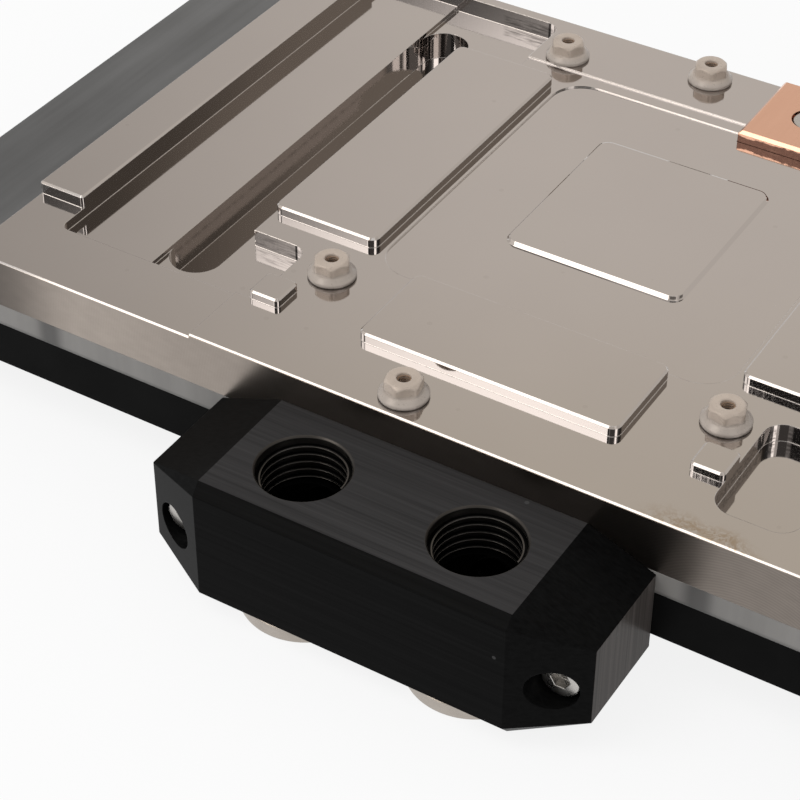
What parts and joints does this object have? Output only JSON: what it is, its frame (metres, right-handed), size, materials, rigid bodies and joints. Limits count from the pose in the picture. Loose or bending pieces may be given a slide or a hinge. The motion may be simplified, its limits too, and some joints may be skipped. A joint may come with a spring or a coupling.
{
  "type": "liquid cooling cold plate",
  "caption": "Nickel-plated copper cold plate with raised contact lands, clear acrylic cover, black frame and a faceted side terminal with two threaded ports.",
  "frame": {"origin": "centre of the raised contact pad's face, which meets the chip", "axes": "+Z out of the contact face towards the chip, +X along the plate, -Y towards the terminal block with the ports"},
  "size_m": [0.196, 0.1251, 0.0321],
  "materials": {
    "nickel_plate": "satin nickel plating over copper",
    "nickel_nut": "satin plated",
    "bare_copper": "fine machined bare copper",
    "dark_steel": "black oxide",
    "clear_acrylic": "clear acrylic with milled edges",
    "stainless_sheet": "rolled sheet",
    "seal_rubber": "moulded rubber",
    "black_frame": "satin black anodised",
    "black_terminal": "satin black anodised, brushed",
    "light_steel": "bright stainless steel",
    "plated_plug": "turned and nickel-plated"
  },
  "bodies": {
    "root": {"cold_plate": "nickel_plate", "nut_front_left": "nickel_nut", "nut_front_right": "nickel_nut", "nut_front_edge": "nickel_nut", "nut_back_left": "nickel_nut", "nut_back_right": "nickel_nut", "nut_back_edge": "nickel_nut", "copper_block": "bare_copper", "copper_block_screw": "light_steel", "acrylic_cover": "clear_acrylic", "jet_plate": "stainless_sheet", "main_seal": "seal_rubber", "frame": "black_frame", "terminal": "black_terminal", "terminal_seal_left": "seal_rubber", "stop_plug_left": "plated_plug", "plug_seal_left": "seal_rubber", "terminal_screw_left": "light_steel", "terminal_seal_right": "seal_rubber", "stop_plug_right": "plated_plug", "plug_seal_right": "seal_rubber", "terminal_screw_right": "light_steel", "frame_screw_1": "dark_steel", "frame_screw_2": "dark_steel", "frame_screw_3": "dark_steel", "frame_screw_4": "dark_steel", "frame_screw_5": "dark_steel", "frame_screw_6": "dark_steel", "frame_screw_7": "dark_steel", "cover_screw_1": "dark_steel", "cover_screw_2": "dark_steel", "cover_screw_3": "dark_steel", "cover_screw_4": "dark_steel", "cover_screw_5": "dark_steel", "cover_screw_6": "dark_steel"}
  },
  "joints": []
}
